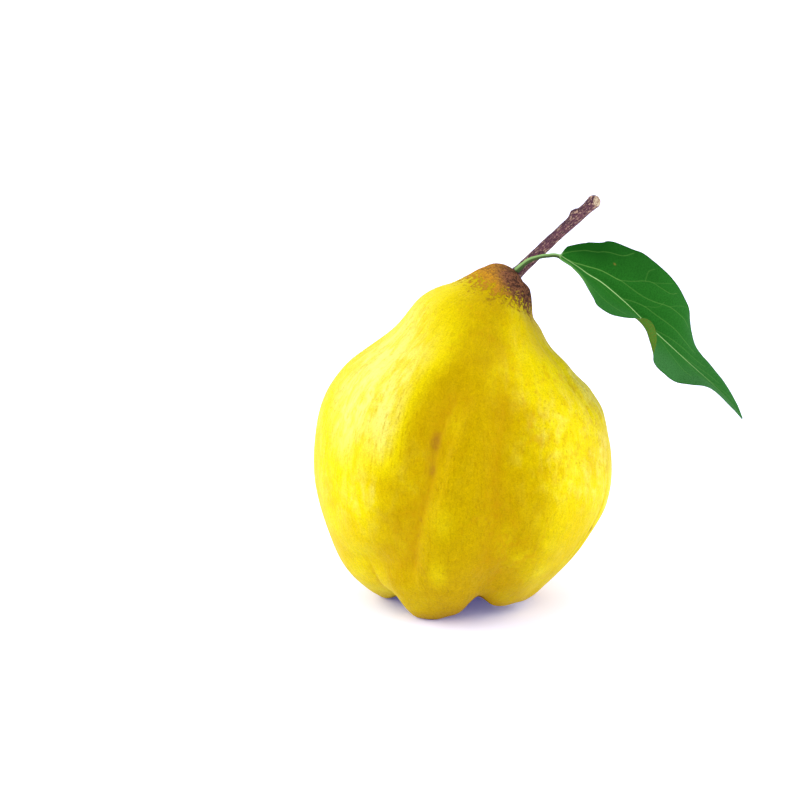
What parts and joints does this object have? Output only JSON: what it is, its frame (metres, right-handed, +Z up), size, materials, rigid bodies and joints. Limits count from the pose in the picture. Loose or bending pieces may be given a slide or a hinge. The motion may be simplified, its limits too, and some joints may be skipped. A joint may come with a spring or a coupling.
{
  "type": "quince",
  "caption": "Ripe quince standing on its base lobes, with a leaning neck, a woody stem, a leaf on its stalk and a dried calyx in the basin underneath.",
  "frame": {"origin": "under the middle of the whole part's bounding box, on the floor the fruit rests on", "axes": "+Z up; the front of the fruit faces -Y; the neck leans, and the stem and leaf reach out, towards +X"},
  "size_m": [0.1286, 0.0874, 0.1223],
  "materials": {
    "skin": "satin, waxy, with russet at the neck",
    "bark": "matt, speckled",
    "leaf": "satin above, matt below",
    "dry_calyx": "matt, dried"
  },
  "bodies": {
    "root": {"fruit": "skin", "stem": "bark", "leaf": "leaf", "sepal_1": "dry_calyx", "sepal_2": "dry_calyx", "sepal_3": "dry_calyx", "sepal_4": "dry_calyx", "sepal_5": "dry_calyx", "stamen_tuft": "dry_calyx"}
  },
  "joints": []
}
